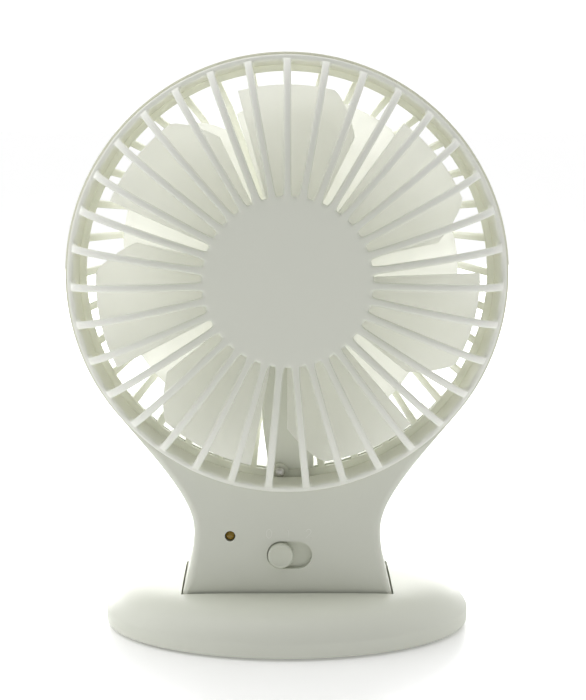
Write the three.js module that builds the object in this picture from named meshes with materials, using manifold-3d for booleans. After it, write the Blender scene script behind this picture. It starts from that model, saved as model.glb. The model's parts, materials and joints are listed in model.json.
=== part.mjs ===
// A small desk fan that runs from a USB supply. Two impellers turn inside one round head: seven blades in
// front and five behind. The head and its neck are one housing, which tilts in a weighted oval base.
// Millimetres. +Z is up, the fan blows towards -Y, and the desk is z = 0.
import * as THREE from "three";
import { mergeVertices } from "three/addons/utils/BufferGeometryUtils.js";
import Module from "manifold-3d";

const wasm = await Module();
wasm.setup();

// ---------------------------------------------------------------- driving dimensions
const GAP = 0.3; // between pieces that touch
const STEP = 48; // facets round a large ring

// Head and neck. A clock angle runs clockwise from twelve, seen from the front.
const AXIS_HEIGHT = 118;
const HEAD_RADIUS = 70.5;
const HALF_DEPTH = 21;
const WALL = 2;
const EDGE_ROUNDING = 1.2;
const BORE_RADIUS = 68.2;
const SPLIT = 2; // plane where the front and rear housings meet
const SADDLE_RADIUS = 66.5; // hollow in the top of the rear housing
const SADDLE_HEIGHT = 74;
const JOIN_ANGLE = THREE.MathUtils.degToRad(39.5); // the neck's flank leaves the round here
const FLANK_LENGTH = 25;
const WAIST = { half: 30.2, height: 34.8, pull: 9.5 };
const FOOT = { half: 34.2, height: 13.8, flare: 27 };

// Tilt pivot, inside the foot of the neck
const PIVOT_HEIGHT = 18;
const TILT_FORWARD = 10;
const TILT_BACK = 20;
const FOOT_DROP = 9.4; // open end of the foot, below the pivot
const AXLE = { radius: 1.8, half: 26 };
const AXLE_HOLE = AXLE.radius + GAP;

// Front grille
const RING = { inner: 67.5, outer: 69.7, front: -23, back: -21 - GAP, skirtOuter: 67.9, skirtBack: -13 };
const DISC = { radius: 27, front: -41, thickness: 2, crown: 0.4 };
const SPOKES = 35;
const SPOKE = { width: 2.2, depth: 2.8 };

// Rear grille
const LIP = { inner: 64.4, outer: 67.9, front: -12.7, back: -10.7 };
const RIBS = 36;
const RIB = { width: 2.3, depth: 2.2, kinkRadius: 58.2, back: 22 };
const REAR_RINGS = [33, 43];
const REAR_RING_WIDTH = 1.7;
const REAR_HUB_RADIUS = 19;

// Impellers
const HUB = { radius: 17, wall: 1.6, boss: 3.4 };
// "first" is the clock angle of a blade's first edge. "lead" and "trail" are where its two edges lie along Y.
const FRONT_IMPELLER = {
  ...{ blades: 7, first: -14.7, span: 40.5, tip: 60.3 },
  ...{ nose: -36, rim: -16.5, lead: -31.5, trail: -21.5 },
};
const REAR_IMPELLER = {
  ...{ blades: 5, first: -18, span: 67.5, tip: 57.2 },
  ...{ nose: 18.4, rim: 3.4, lead: 4.6, trail: 14.6 },
};
const BLADE_THICKNESS = 1.2;

// Motors, back to back in the middle
const MOTOR = { radius: 12.1, length: 12.3, middle: -4, shaft: 1 };
const CUP = { outer: 15, front: -10.4, back: 1.6 };
const MOTOR_BORE = MOTOR.radius + GAP;
const DUCT_MIDDLE = -3.5; // the leads run down the duct here
const LEAD_DEPTH = -4.4;
const LEAD_RADIUS = 0.55;

// Switch and lamp on the front of the neck
const SLOT = { middle: 0.7, height: 27.3, length: 14.6, tall: 9 };
const KNOB = { radius: 4.1, x: -2.2, proud: 2, plateHalf: 10.5, plateTall: 11 };
const LAMP = { x: -18.5, height: 33.6, radius: 1.5 };
const BOARD = { left: -22, right: 16, low: 19.5, high: 39.5, front: -12.4, thickness: 1.6 };
const INLET = { height: 26, width: 7.8, tall: 3.2, front: 13.5 };

// Base
const BASE = { half: 60.3, halfDepth: 48, low: 0.8, crease: 6.2, rise: 8.6, fullness: 10, shoulder: 1.15 };
const PLATE = { inset: 2.6, low: 1, high: 3.2 };
const PAD = { radius: 5, thickness: 1.6, x: 40, y: 24 };
const BASE_SCREW = { x: 46, y: 16 };
const SLOT_CLEARANCE = 0.6;
const BRACKET = { half: 20, thickness: 2, width: 12, low: 3.5 };

// ---------------------------------------------------------------- shaping helpers
const v2 = (x, y) => new THREE.Vector2(x, y);
const radians = THREE.MathUtils.degToRad;

// A closed geometry as a manifold solid, without the slivers that a lathe leaves on its axis.
function solid(geometry) {
  const bare = geometry.clone();
  bare.deleteAttribute("normal");
  bare.deleteAttribute("uv");
  const merged = mergeVertices(bare, 1e-4);
  const index = merged.index.array;
  const faces = [];
  for (let i = 0; i < index.length; i += 3) {
    const [a, b, c] = [index[i], index[i + 1], index[i + 2]];
    if (a !== b && b !== c && c !== a) faces.push(a, b, c);
  }
  const vertProperties = merged.attributes.position.array;
  return new wasm.Manifold(new wasm.Mesh({ numProp: 3, vertProperties, triVerts: new Uint32Array(faces) }));
}

function geometryOf(manifold) {
  const mesh = manifold.getMesh();
  const geometry = new THREE.BufferGeometry();
  geometry.setAttribute("position", new THREE.BufferAttribute(mesh.vertProperties, 3));
  geometry.setIndex(new THREE.BufferAttribute(mesh.triVerts, 1));
  geometry.computeVertexNormals();
  return geometry;
}

const join = (first, ...rest) => rest.reduce((sum, next) => sum.add(next), first);
const cut = (first, ...rest) => rest.reduce((left, next) => left.subtract(next), first);

// A ring or disc turned about the Y axis from points (radius, y).
function turned(points, steps = STEP) {
  const onAxis = points[0].x === 0 && points[points.length - 1].x === 0;
  const profile = onAxis ? points.slice() : [...points, points[0].clone()];
  if (THREE.ShapeUtils.area(profile) < 0) profile.reverse();
  return new THREE.LatheGeometry(profile, steps);
}

const tube = (inner, outer, front, back, steps) =>
  solid(turned([v2(inner, front), v2(outer, front), v2(outer, back), v2(inner, back)], steps));

// A round bar along Y, from front to back, about (x, z).
function bar(radius, front, back, x = 0, z = 0, steps = 20) {
  const geometry = new THREE.CylinderGeometry(radius, radius, back - front, steps);
  return solid(geometry.translate(x, (front + back) / 2, z));
}

// A round bar along X, from left to right, about (y, z).
function crossBar(radius, left, right, y = 0, z = 0, steps = 20) {
  const geometry = new THREE.CylinderGeometry(radius, radius, right - left, steps);
  return solid(geometry.rotateZ(Math.PI / 2).translate((left + right) / 2, y, z));
}

// A round post along Z, from low to high, about (x, y).
function post(radius, low, high, x = 0, y = 0, steps = 20) {
  const geometry = new THREE.CylinderGeometry(radius, radius, high - low, steps);
  return solid(geometry.rotateX(Math.PI / 2).translate(x, y, (low + high) / 2));
}

function block([x0, x1], [y0, y1], [z0, z1]) {
  const geometry = new THREE.BoxGeometry(x1 - x0, y1 - y0, z1 - z0);
  return solid(geometry.translate((x0 + x1) / 2, (y0 + y1) / 2, (z0 + z1) / 2));
}

// A shape drawn in (x, z), made solid from front to back, with its outer edges rounded by "rounding".
function slab(shape, front, back, rounding = 0) {
  const geometry = new THREE.ExtrudeGeometry(shape, {
    depth: back - front - 2 * rounding,
    curveSegments: 14,
    bevelEnabled: rounding > 0,
    bevelSize: rounding,
    bevelThickness: rounding,
    bevelOffset: -rounding,
    bevelSegments: 1,
  });
  return solid(geometry.rotateX(Math.PI / 2).translate(0, back - rounding, 0));
}

// A shape drawn in (y, z), made solid from left to right.
function crossSlab(shape, left, right) {
  const sweep = { depth: right - left, curveSegments: 8, bevelEnabled: false };
  const geometry = new THREE.ExtrudeGeometry(shape, sweep);
  const axes = new THREE.Matrix4().makeBasis(
    new THREE.Vector3(0, 1, 0),
    new THREE.Vector3(0, 0, 1),
    new THREE.Vector3(1, 0, 0),
  );
  return solid(geometry.applyMatrix4(axes).translate(left, 0, 0));
}

// A slot with round ends, its length along X.
function stadium(length, tall, x, z) {
  const r = tall / 2;
  const reach = length / 2 - r;
  const shape = new THREE.Shape();
  shape.absarc(x + reach, z, r, -Math.PI / 2, Math.PI / 2, false);
  shape.absarc(x - reach, z, r, Math.PI / 2, (3 * Math.PI) / 2, false);
  return shape;
}

// A round lead or cable along a smooth curve.
function lead(points, radius, steps) {
  const section = new THREE.Shape();
  section.absarc(0, 0, radius, 0, 2 * Math.PI, false);
  const extrudePath = new THREE.CatmullRomCurve3(points.map((p) => new THREE.Vector3(...p)));
  return new THREE.ExtrudeGeometry(section, { steps, curveSegments: 4, bevelEnabled: false, extrudePath });
}

// A pan-head screw along Y: its head is at the origin side, its shank runs towards +Y.
function screw(headRadius, headHeight, shankRadius, length) {
  const profile = [
    v2(0, 0),
    v2(headRadius * 0.8, 0),
    v2(headRadius, headHeight * 0.4),
    v2(headRadius, headHeight),
    v2(shankRadius, headHeight),
    v2(shankRadius, length - shankRadius),
    v2(0, length),
  ];
  return geometryOf(solid(turned(profile, 12)));
}

// ---------------------------------------------------------------- materials
function finish(color, roughness, metalness = 0) {
  return new THREE.MeshStandardMaterial({ color, roughness, metalness });
}
const IVORY = () => finish("#e9eade", 0.42);
const BLADE_IVORY = () => finish("#eeefe2", 0.5);
const STEEL = () => finish("#b9bcc0", 0.3, 1);
const DARK_STEEL = () => finish("#8b8f94", 0.45, 1);
const RUBBER = () => finish("#33343a", 0.9);

const fan = new THREE.Group();
const base = new THREE.Group();
const head = new THREE.Group();
fan.add(base, head);

function place(group, name, geometry, material, position = [0, 0, 0], rotation = [0, 0, 0]) {
  const mesh = new THREE.Mesh(geometry, material);
  mesh.name = name;
  mesh.position.set(...position);
  mesh.rotation.set(...rotation);
  group.add(mesh);
  return mesh;
}
const onAxis = (manifold) => manifold.translate([0, 0, AXIS_HEIGHT]);

// ---------------------------------------------------------------- head and neck housing
// Head and neck from the front: a round head whose flanks run down into a waisted neck with a flared foot.
function outline(inset) {
  const r = HEAD_RADIUS - inset;
  const waist = WAIST.half - inset;
  const foot = FOOT.half - inset;
  const joinX = r * Math.cos(JOIN_ANGLE);
  const joinZ = AXIS_HEIGHT - r * Math.sin(JOIN_ANGLE);
  const flankX = joinX - FLANK_LENGTH * Math.sin(JOIN_ANGLE);
  const flankZ = joinZ - FLANK_LENGTH * Math.cos(JOIN_ANGLE);
  const pull = WAIST.height + WAIST.pull;
  const shape = new THREE.Shape();
  shape.moveTo(-foot, 0);
  shape.lineTo(foot, 0);
  shape.lineTo(foot, FOOT.height);
  shape.quadraticCurveTo(waist, FOOT.flare, waist, WAIST.height);
  shape.bezierCurveTo(waist, pull, flankX, flankZ, joinX, joinZ);
  shape.absarc(0, AXIS_HEIGHT, r, -JOIN_ANGLE, Math.PI + JOIN_ANGLE, false);
  shape.bezierCurveTo(-flankX, flankZ, -waist, pull, -waist, WAIST.height);
  shape.quadraticCurveTo(-waist, FOOT.flare, -foot, FOOT.height);
  return shape;
}

// The outline made solid. Its foot is round about the tilt pivot, so that it turns in the slot of the base.
function housingBody(inset, rounding) {
  const half = HALF_DEPTH - inset;
  const side = new THREE.Shape();
  side.moveTo(half, 2 * AXIS_HEIGHT);
  side.lineTo(-half, 2 * AXIS_HEIGHT);
  side.lineTo(-half, PIVOT_HEIGHT);
  side.absarc(0, PIVOT_HEIGHT, half, Math.PI, 2 * Math.PI, false);
  return slab(outline(inset), -half, half, rounding).intersect(crossSlab(side, -80, 80));
}

// Everything below the open end of the foot, which leans so that both tilts clear the base plate.
function belowFoot() {
  const lean = radians((TILT_BACK - TILT_FORWARD) / 2);
  const geometry = new THREE.BoxGeometry(100, 100, 40).translate(0, 0, -FOOT_DROP - 20);
  return solid(geometry.rotateX(lean).translate(0, 0, PIVOT_HEIGHT));
}

const BOSSES = [-1, 1].flatMap((side) => [
  { x: side * 25.3, z: 26 },
  { x: side * 27, z: 46 },
]);
const SCREW_HEAD_Y = 9; // depth of the screw heads in the rear housing
const round = (radius, front, back) => onAxis(bar(radius, front, back, 0, 0, STEP));
const frontHalf = block([-90, 90], [-60, SPLIT], [-10, 200]);
const rearHalf = block([-90, 90], [SPLIT + GAP, 60], [-10, SADDLE_HEIGHT]);

function pivotRibs(front, back) {
  const rib = (side) => {
    const xs = [side * 22.6, side * 24.6].sort((a, b) => a - b);
    return block(xs, [front, back], [12, 24]);
  };
  return join(rib(-1), rib(1));
}
const axleHole = crossBar(AXLE_HOLE, -AXLE.half - GAP, AXLE.half + GAP, 0, PIVOT_HEIGHT);

const hollow = housingBody(WALL, 0);
const shell = housingBody(0, EDGE_ROUNDING);
let frontHousing = cut(shell, hollow.subtract(round(HEAD_RADIUS, -60, 60)), belowFoot());
frontHousing = cut(frontHousing.intersect(frontHalf), round(BORE_RADIUS, -60, 60));
for (const { x, z } of BOSSES) {
  frontHousing = frontHousing.add(bar(2.5, -HALF_DEPTH + 1, SPLIT - GAP, x, z));
}
frontHousing = join(frontHousing, pivotRibs(-HALF_DEPTH + 1, SPLIT));
for (const { x, z } of BOSSES) {
  frontHousing = frontHousing.subtract(bar(1.2, -10, SPLIT + 1, x, z, 12));
}
frontHousing = cut(
  frontHousing,
  axleHole,
  slab(stadium(SLOT.length, SLOT.tall, SLOT.middle, SLOT.height), -30, -HALF_DEPTH + WALL + 1),
  bar(LAMP.radius + GAP, -30, -HALF_DEPTH + WALL + 1, LAMP.x, LAMP.height),
  post(3, AXIS_HEIGHT - 75, AXIS_HEIGHT - 60, DUCT_MIDDLE, LEAD_DEPTH, 12),
);
place(head, "front_housing", geometryOf(frontHousing), IVORY());

let rearHousing = cut(shell, hollow.subtract(round(SADDLE_RADIUS + WALL, -60, 60)), belowFoot());
rearHousing = cut(rearHousing.intersect(rearHalf), round(SADDLE_RADIUS, -60, 60));
for (const { x, z } of BOSSES) rearHousing = rearHousing.add(bar(3.2, SPLIT + GAP, HALF_DEPTH - 1, x, z));
rearHousing = join(rearHousing, pivotRibs(SPLIT + GAP, HALF_DEPTH - 1));
for (const { x, z } of BOSSES) {
  rearHousing = cut(rearHousing, bar(2.3, SCREW_HEAD_Y, 40, x, z, 16), bar(1.2, SPLIT, 40, x, z, 12));
}
rearHousing = cut(
  rearHousing,
  axleHole,
  block([-INLET.width / 2 - GAP, INLET.width / 2 + GAP], [15, 40], [
    INLET.height - INLET.tall / 2 - GAP,
    INLET.height + INLET.tall / 2 + GAP,
  ]),
);
place(head, "rear_housing", geometryOf(rearHousing), IVORY());

const housingScrew = screw(2, 1.5, 0.9, 12);
BOSSES.forEach(({ x, z }, i) => {
  const seat = [x, SCREW_HEAD_Y + GAP + 1.5, z];
  place(head, `housing_screw_${i + 1}`, housingScrew, STEEL(), seat, [0, 0, Math.PI]);
});

// ---------------------------------------------------------------- front grille
// One moulding: a thin ring, a large plain disc that stands forward of it, and curved spokes between them.
function spoke(turn) {
  const reach = (RING.inner + RING.outer) / 2 - DISC.radius;
  const rise = RING.front - DISC.front;
  const profile = new THREE.Shape();
  profile.moveTo(DISC.radius - 2, DISC.front + SPOKE.depth);
  profile.lineTo(DISC.radius - 2, DISC.front + 0.3);
  profile.absellipse(DISC.radius, RING.front, reach, rise, -Math.PI / 2, 0, false);
  profile.lineTo(DISC.radius + reach, RING.back);
  const innerRise = rise + RING.back - RING.front - SPOKE.depth;
  profile.absellipse(DISC.radius, RING.back, reach - 1.5, innerRise, 0, -Math.PI / 2, true);
  const sweep = { depth: SPOKE.width, curveSegments: 3, bevelEnabled: false };
  const geometry = new THREE.ExtrudeGeometry(profile, sweep);
  const axes = new THREE.Matrix4().makeBasis(
    new THREE.Vector3(0, 0, 1),
    new THREE.Vector3(0, 1, 0),
    new THREE.Vector3(-1, 0, 0),
  );
  return solid(geometry.applyMatrix4(axes).translate(SPOKE.width / 2, 0, 0).rotateY(turn));
}

const ringProfile = [
  v2(RING.inner, RING.front),
  v2(RING.outer - 0.5, RING.front),
  v2(RING.outer, RING.front + 0.5),
  v2(RING.outer, RING.back),
  v2(RING.skirtOuter, RING.back),
  v2(RING.skirtOuter, RING.skirtBack),
  v2(RING.inner - 0.1, RING.skirtBack),
];
const discProfile = [
  v2(0, DISC.front - DISC.crown),
  v2(DISC.radius * 0.6, DISC.front - DISC.crown * 0.6),
  v2(DISC.radius, DISC.front),
  v2(DISC.radius, DISC.front + DISC.thickness + 0.6),
  v2(DISC.radius - 2, DISC.front + DISC.thickness),
  v2(0, DISC.front + DISC.thickness),
];
let frontGrille = solid(turned(ringProfile, SPOKES)).add(solid(turned(discProfile, SPOKES)));
for (let i = 0; i < SPOKES; i++) frontGrille = frontGrille.add(spoke((i * 2 * Math.PI) / SPOKES));
place(head, "front_grille", geometryOf(onAxis(frontGrille)), IVORY());

// ---------------------------------------------------------------- rear grille
// One moulding: a lip ring inside the head, ribs that run back from it and kink inwards, two rings and a hub.
function rib(turn, whole) {
  const half = RIB.width / 2;
  const inner = RIB.back - RIB.depth;
  const profile = new THREE.Shape();
  profile.moveTo(REAR_HUB_RADIUS - 1, inner);
  profile.lineTo(RIB.kinkRadius - RIB.depth, inner);
  if (whole) {
    profile.lineTo(LIP.inner + 0.2, LIP.back - 0.5);
    profile.lineTo(LIP.inner + RIB.depth, LIP.back - 0.5);
  } else {
    profile.lineTo(RIB.kinkRadius, inner);
  }
  profile.lineTo(RIB.kinkRadius, RIB.back - 1);
  profile.lineTo(RIB.kinkRadius - 1, RIB.back);
  profile.lineTo(REAR_HUB_RADIUS - 1, RIB.back);
  const geometry = new THREE.ExtrudeGeometry(profile, { depth: RIB.width, bevelEnabled: false });
  const axes = new THREE.Matrix4().makeBasis(
    new THREE.Vector3(0, 0, 1),
    new THREE.Vector3(0, 1, 0),
    new THREE.Vector3(-1, 0, 0),
  );
  return solid(geometry.applyMatrix4(axes).translate(half, 0, 0).rotateY(turn));
}

const DUCT_EAR = { x: -2.4, z: -65, radius: 2.8 };
let rearGrille = tube(LIP.inner, LIP.outer, LIP.front, LIP.back, RIBS);
for (let i = 0; i < RIBS; i++) {
  rearGrille = rearGrille.add(rib((i * 2 * Math.PI) / RIBS, i !== RIBS / 2));
}
for (const radius of REAR_RINGS) {
  const half = REAR_RING_WIDTH / 2;
  const [front, back] = [RIB.back - RIB.depth + 0.2, RIB.back - 0.2];
  rearGrille = rearGrille.add(tube(radius - half, radius + half, front, back, RIBS));
}
const ear = bar(DUCT_EAR.radius, LIP.front, LIP.back, DUCT_EAR.x, DUCT_EAR.z);
rearGrille = join(
  rearGrille,
  bar(REAR_HUB_RADIUS, RIB.back - RIB.depth, RIB.back, 0, 0, 36),
  ear.intersect(bar(LIP.outer, -40, 40, 0, 0, STEP)),
);
rearGrille = rearGrille.subtract(bar(1.2, -40, 0, DUCT_EAR.x, DUCT_EAR.z, 12));
place(head, "rear_grille", geometryOf(onAxis(rearGrille)), IVORY());

// ---------------------------------------------------------------- motor carrier, motors
// A cup in the middle of the head holds both motors. It stands on a hollow duct that rises from the neck.
const duct = new THREE.Shape();
duct.moveTo(-5.2, -70);
duct.lineTo(8.6, -70);
duct.lineTo(8.6, -58);
duct.quadraticCurveTo(7.5, -49, 1, -42);
duct.lineTo(2, -12);
duct.lineTo(-9, -12);
duct.lineTo(-8, -50);
let carrier = slab(duct, CUP.front, CUP.back).intersect(bar(LIP.outer - 0.2, -40, 40, 0, 0, STEP));
carrier = cut(carrier.add(bar(CUP.outer, CUP.front, CUP.back, 0, 0, 36)), bar(MOTOR_BORE, -40, 40, 0, 0, 36));
const ductHollow = block([DUCT_MIDDLE - 2.5, DUCT_MIDDLE + 2.5], [LEAD_DEPTH - 2, LEAD_DEPTH + 2], [-80, -8]);
carrier = cut(carrier, ductHollow, bar(1.2, -40, -4.5, DUCT_EAR.x, DUCT_EAR.z, 12));
place(head, "motor_carrier", geometryOf(onAxis(carrier)), IVORY());
const ductScrew = screw(1.7, 1.2, 0.9, 6.5);
place(head, "duct_screw", ductScrew, STEEL(), [DUCT_EAR.x, LIP.front - GAP - 1.2, AXIS_HEIGHT + DUCT_EAR.z]);

// A flat direct-current motor whose shaft end faces -Y.
function motor() {
  const profile = [
    v2(0, 0),
    v2(MOTOR.radius - 1, 0),
    v2(MOTOR.radius, 1),
    v2(MOTOR.radius, -MOTOR.length),
    v2(3, -MOTOR.length),
    v2(3, -MOTOR.length - 1),
    v2(0, -MOTOR.length - 1),
  ];
  return geometryOf(solid(turned(profile, 36)).subtract(bar(MOTOR.shaft + GAP, -30, -5, 0, 0, 12)));
}
const motorGeometry = motor();
place(head, "front_motor", motorGeometry, STEEL(), [0, MOTOR.middle - 1.4, AXIS_HEIGHT]);
place(head, "rear_motor", motorGeometry, STEEL(), [0, MOTOR.middle + 1.4, AXIS_HEIGHT], [0, 0, Math.PI]);

// ---------------------------------------------------------------- impellers
// A blade is a thin plate bent over a grid of clock angle and radius. "tipAt" gives its outer radius, and
// "liftAt" its place along the axis, at a share of the way from its first edge to its second.
function blade({ first, span, tipAt, liftAt }, turn) {
  const geometry = new THREE.BoxGeometry(1, 1, 1, 7, 2, 1);
  const position = geometry.attributes.position;
  const root = HUB.radius - 0.6;
  for (let i = 0; i < position.count; i++) {
    const share = position.getX(i) + 0.5;
    const reach = position.getY(i) + 0.5;
    const angle = radians(first + span * share) + turn;
    const radius = root + (tipAt(share) - root) * reach;
    const along = liftAt(share, reach) - position.getZ(i) * BLADE_THICKNESS;
    position.setXYZ(i, radius * Math.sin(angle), along, radius * Math.cos(angle));
  }
  return solid(geometry);
}

function impeller(spec, tipAt) {
  const { blades, nose, rim, lead: start, trail: end } = spec;
  const back = Math.sign(rim - nose);
  const cup = [
    v2(0, nose),
    v2(HUB.radius - 2.5, nose),
    v2(HUB.radius - 0.7, nose + back * 0.8),
    v2(HUB.radius, nose + back * 2.5),
    v2(HUB.radius, rim),
    v2(HUB.radius - HUB.wall, rim),
    v2(HUB.radius - HUB.wall, nose + back * 2.2),
    v2(HUB.boss, nose + back * 2.2),
    v2(HUB.boss, nose + back * 6),
    v2(0, nose + back * 6),
  ];
  let wheel = solid(turned(cup, 28));
  const flat = (reach) => 1 - 0.35 * reach; // the twist eases towards the tip
  const middle = (start + end) / 2;
  const liftAt = (share, reach) => middle + (start - middle) * Math.cos(Math.PI * share) * flat(reach);
  for (let i = 0; i < blades; i++) {
    wheel = wheel.add(blade({ ...spec, tipAt, liftAt }, (i * 2 * Math.PI) / blades));
  }
  const [low, high] = [nose + back * 1.2, nose + back * 12].sort((a, b) => a - b);
  return geometryOf(onAxis(wheel.subtract(bar(MOTOR.shaft + GAP, low, high, 0, 0, 12))));
}

const past = (share, from) => Math.max(0, (share - from) / (1 - from));
const frontTip = (share) => FRONT_IMPELLER.tip - 11.6 * past(share, 0.72) ** 1.15;
const rearTip = (share) =>
  REAR_IMPELLER.tip - 4 * (1 - Math.min(1, share / 0.7)) ** 2 - 9 * past(share, 0.82) ** 1.4;
place(head, "front_impeller", impeller(FRONT_IMPELLER, frontTip), BLADE_IVORY());
place(head, "rear_impeller", impeller(REAR_IMPELLER, rearTip), BLADE_IVORY());
const shaft = geometryOf(bar(MOTOR.shaft, -24, -1, 0, 0, 16));
place(head, "front_shaft", shaft, STEEL(), [0, -10.4, AXIS_HEIGHT]);
place(head, "rear_shaft", geometryOf(bar(MOTOR.shaft, 3.4, 16.6, 0, 0, 16)), STEEL(), [0, 0, AXIS_HEIGHT]);

// ---------------------------------------------------------------- switch, lamp, board and inlet in the neck
const FACE = -HALF_DEPTH;
const knobProfile = [
  v2(0, FACE - KNOB.proud + 0.5),
  v2(KNOB.radius - 1, FACE - KNOB.proud),
  v2(KNOB.radius - 0.4, FACE - KNOB.proud + 0.2),
  v2(KNOB.radius, FACE - KNOB.proud + 0.8),
  v2(KNOB.radius, FACE + WALL + 0.6),
  v2(0, FACE + WALL + 0.6),
];
const knob = join(
  solid(turned(knobProfile, 32)),
  slab(stadium(2 * KNOB.plateHalf, KNOB.plateTall, 0, 0), FACE + WALL + GAP, FACE + WALL + GAP + 1),
  block([-1.5, 1.5], [FACE + WALL + 1, -15.2], [-1.5, 1.5]),
);
place(head, "switch_knob", geometryOf(knob), IVORY(), [KNOB.x, 0, SLOT.height]);

const boardSize = [BOARD.right - BOARD.left, BOARD.thickness, BOARD.high - BOARD.low];
place(head, "circuit_board", new THREE.BoxGeometry(...boardSize), finish("#2f6b3c", 0.5), [
  (BOARD.left + BOARD.right) / 2,
  BOARD.front + BOARD.thickness / 2,
  (BOARD.low + BOARD.high) / 2,
]);
place(head, "slide_switch", new THREE.BoxGeometry(13, 2, 6), finish("#3b3d40", 0.5), [
  SLOT.middle,
  BOARD.front - GAP - 1,
  SLOT.height,
]);
const lampProfile = [
  v2(0, -20.9),
  v2(LAMP.radius * 0.7, -20.4),
  v2(LAMP.radius, -19.4),
  v2(LAMP.radius, -17.2),
  v2(LAMP.radius + 0.3, -17.2),
  v2(LAMP.radius + 0.3, BOARD.front - GAP),
  v2(0, BOARD.front - GAP),
];
const lamp = geometryOf(solid(turned(lampProfile, 20)));
place(head, "power_lamp", lamp, finish("#8a6a12", 0.2), [LAMP.x, 0, LAMP.height]);

const across = (size, inset) => [inset - size / 2, size / 2 - inset];
const inletBlock = (inset, ys) => block(across(INLET.width, inset), ys, across(INLET.tall, inset));
const inletBody = inletBlock(0, [INLET.front, 20.6]);
const inletMouth = inletBlock(0.5, [15.5, 30]);
const inletTongue = block([-2.6, 2.6], [15, 19.6], [-0.35, 0.35]);
const inlet = cut(inletBody, inletMouth).add(inletTongue);
place(head, "power_inlet", geometryOf(inlet), STEEL(), [0, 0, INLET.height]);

for (const [name, x, color] of [
  ["motor_lead_red", DUCT_MIDDLE - 0.9, "#a8322a"],
  ["motor_lead_black", DUCT_MIDDLE + 0.9, "#26272b"],
]) {
  const route = [
    [x, LEAD_DEPTH, AXIS_HEIGHT - 13.4],
    [x, LEAD_DEPTH, AXIS_HEIGHT - 40],
    [x, LEAD_DEPTH, AXIS_HEIGHT - 64],
    [x, -5.5, 46],
    [x, -9.2, 38],
    [x, -9.6, 34],
  ];
  place(head, name, lead(route, LEAD_RADIUS, 14), finish(color, 0.5));
}
for (const [name, x, color] of [
  ["inlet_lead_red", -1.2, "#a8322a"],
  ["inlet_lead_black", 1.2, "#26272b"],
]) {
  const route = [
    [x, INLET.front - GAP, INLET.height],
    [x, 9, INLET.height + 1],
    [x, 0, INLET.height + 3],
    [x, -7, INLET.height + 1],
    [x, BOARD.front + BOARD.thickness + GAP, INLET.height],
  ];
  place(head, name, lead(route, LEAD_RADIUS, 10), finish(color, 0.5));
}

// ---------------------------------------------------------------- tilt pivot
const axle = geometryOf(crossBar(AXLE.radius, -AXLE.half, AXLE.half));
place(head, "tilt_axle", axle, STEEL(), [0, 0, PIVOT_HEIGHT]);
const washer = geometryOf(crossBar(5, -0.5, 0.5, 0, 0, 28).subtract(crossBar(AXLE_HOLE, -2, 2)));
for (const [name, side] of [
  ["friction_washer_left", -1],
  ["friction_washer_right", 1],
]) {
  place(head, name, washer, DARK_STEEL(), [side * 21.8, 0, PIVOT_HEIGHT]);
}

const bracketShape = new THREE.Shape();
bracketShape.moveTo(-BRACKET.width / 2, BRACKET.low);
bracketShape.lineTo(BRACKET.width / 2, BRACKET.low);
bracketShape.lineTo(BRACKET.width / 2, PIVOT_HEIGHT);
bracketShape.absarc(0, PIVOT_HEIGHT, BRACKET.width / 2, 0, Math.PI, false);
const upright = crossSlab(bracketShape, -BRACKET.thickness / 2, BRACKET.thickness / 2);
let bracket = join(
  upright.translate([-BRACKET.half, 0, 0]),
  upright.translate([BRACKET.half, 0, 0]),
  block(
    [-BRACKET.half, BRACKET.half],
    [-BRACKET.width / 2, BRACKET.width / 2],
    [BRACKET.low, BRACKET.low + 1.5],
  ),
);
bracket = bracket.subtract(crossBar(AXLE_HOLE, -40, 40, 0, PIVOT_HEIGHT));
for (const side of [-1, 1]) bracket = bracket.subtract(post(1.2, 0, 10, side * 12, 0, 12));
place(base, "pivot_bracket", geometryOf(bracket), DARK_STEEL());

// ---------------------------------------------------------------- base
// Height of the base's top at a share of the way from its middle to its edge, less "inset".
const domeHeight = (share, inset) =>
  BASE.crease + (BASE.rise - inset) * (1 - share ** BASE.fullness) ** (1 / BASE.shoulder);

// An oval piece turned about the Z axis from points (half width, z) and then narrowed front to back.
function oval(points, steps = STEP) {
  return solid(turned(points, steps).rotateX(Math.PI / 2).scale(1, BASE.halfDepth / BASE.half, 1));
}
const SHARES = [1, 0.985, 0.95, 0.89, 0.79, 0.6, 0];
const domePoints = (half, inset) => SHARES.map((share) => v2(half * share, domeHeight(share, inset)));
const outerSkin = oval([
  v2(0, BASE.low),
  v2(BASE.half - 0.4, BASE.low),
  v2(BASE.half, BASE.low + 0.7),
  ...domePoints(BASE.half - 0.3, 0),
]);
const innerPoints = [v2(0, -1), v2(BASE.half - 2.2, -1), ...domePoints(BASE.half - 2.3, WALL)];
const innerSkin = oval(innerPoints, 0.75 * STEP);
const neckSlot = [
  [-FOOT.half - SLOT_CLEARANCE, FOOT.half + SLOT_CLEARANCE],
  [-HALF_DEPTH - SLOT_CLEARANCE, HALF_DEPTH + SLOT_CLEARANCE],
];
let cover = outerSkin.subtract(innerSkin);
const fourSpots = ({ x, y }) => [-1, 1].flatMap((sx) => [-1, 1].map((sy) => ({ x: sx * x, y: sy * y })));
const screwSpots = fourSpots(BASE_SCREW);
for (const { x, y } of screwSpots) {
  cover = cover.add(post(2.8, PLATE.high + GAP, 14, x, y).intersect(outerSkin));
}
for (const { x, y } of screwSpots) cover = cover.subtract(post(1.2, 0, 9, x, y, 12));
cover = cover.subtract(block(...neckSlot, [-5, 40]));
place(base, "base_cover", geometryOf(cover), IVORY());

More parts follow.
